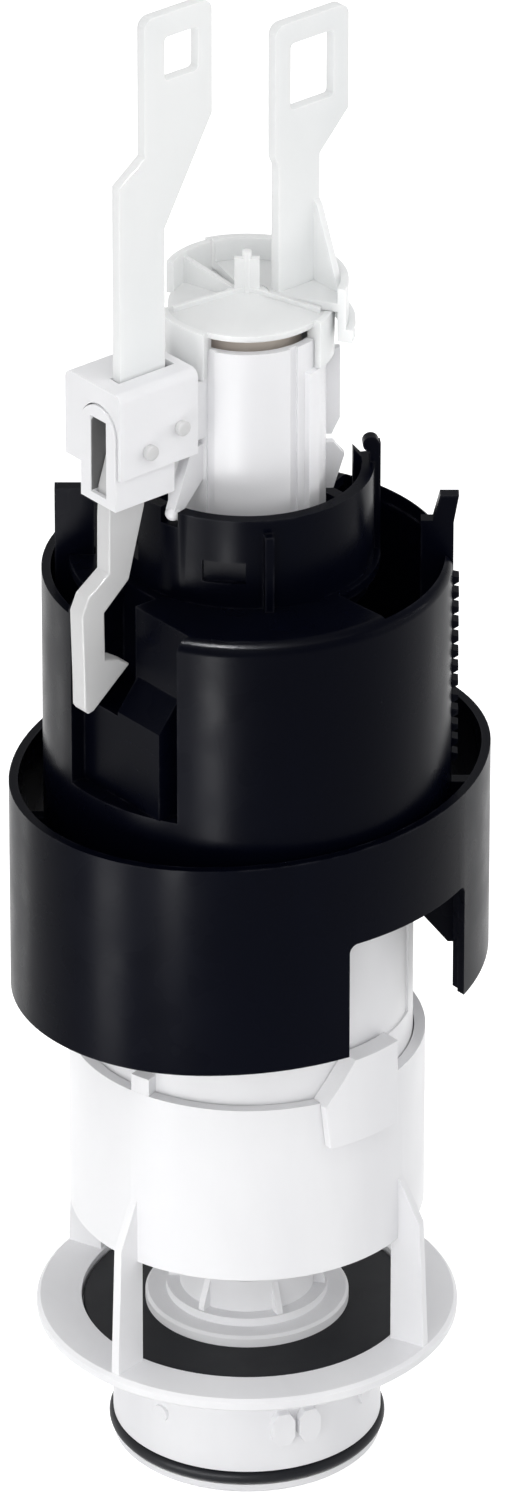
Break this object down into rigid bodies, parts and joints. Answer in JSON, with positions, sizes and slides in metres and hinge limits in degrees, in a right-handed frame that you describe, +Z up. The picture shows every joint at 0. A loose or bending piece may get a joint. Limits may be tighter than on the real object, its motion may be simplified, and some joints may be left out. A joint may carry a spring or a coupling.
{
  "type": "toilet flush valve",
  "caption": "Dual-flush valve for a concealed cistern: outlet basket, float housing with a sliding volume sleeve, and a lifting overflow tube with pull rods and a trigger lever.",
  "frame": {"origin": "centre of the outlet spigot's lower rim", "axes": "+Z up along the overflow tube, away from the outlet; -X towards the trigger block and its hanging lever"},
  "size_m": [0.1122, 0.0961, 0.3568],
  "materials": {
    "white_plastic": "satin moulded",
    "milky_plastic": "translucent moulded",
    "grey_plastic": "satin moulded",
    "black_plastic": "satin gloss moulded",
    "seal_rubber": "matt rubber"
  },
  "bodies": {
    "housing": {"seat_basket": "white_plastic", "outlet_o_ring": "seal_rubber", "lock_clip": "white_plastic", "body_tube": "white_plastic", "lower_guide": "white_plastic", "float_housing": "black_plastic", "guide_ring": "black_plastic", "neck_collar": "black_plastic"},
    "valve_tube": {"overflow_tube": "white_plastic", "seal_clamp": "white_plastic", "main_seal": "seal_rubber", "seal_plate": "white_plastic", "main_float": "white_plastic", "float_clip": "white_plastic", "tube_cap": "milky_plastic", "full_flush_rod": "milky_plastic", "trigger_cover": "white_plastic", "trigger_channel": "white_plastic", "lever_pin": "grey_plastic", "guide_pin": "grey_plastic"},
    "half_rod": {"half_flush_rod": "milky_plastic"},
    "lever": {"trigger_lever": "grey_plastic"},
    "sleeve": {"volume_sleeve": "black_plastic"}
  },
  "joints": [
    {"name": "tube_lift", "type": "slide", "parent": "housing", "child": "valve_tube", "axis": [0, 0, 1], "range_m": [0, 0.025]},
    {"name": "half_pull", "type": "slide", "parent": "valve_tube", "child": "half_rod", "axis": [0, 0, 1], "range_m": [0, 0.005]},
    {"name": "lever_swing", "type": "hinge", "parent": "valve_tube", "child": "lever", "pos_m": [-0.0342, 0, 0.2594], "axis": [0, -1, 0], "range_deg": [0, 6.1]},
    {"name": "sleeve_slide", "type": "slide", "parent": "housing", "child": "sleeve", "axis": [0, 0, 1], "range_m": [-0.018, 0.018]}
  ],
  "couplings": [
    {"joint": "lever_swing", "follows": "half_pull", "rad_per_m": 21}
  ]
}
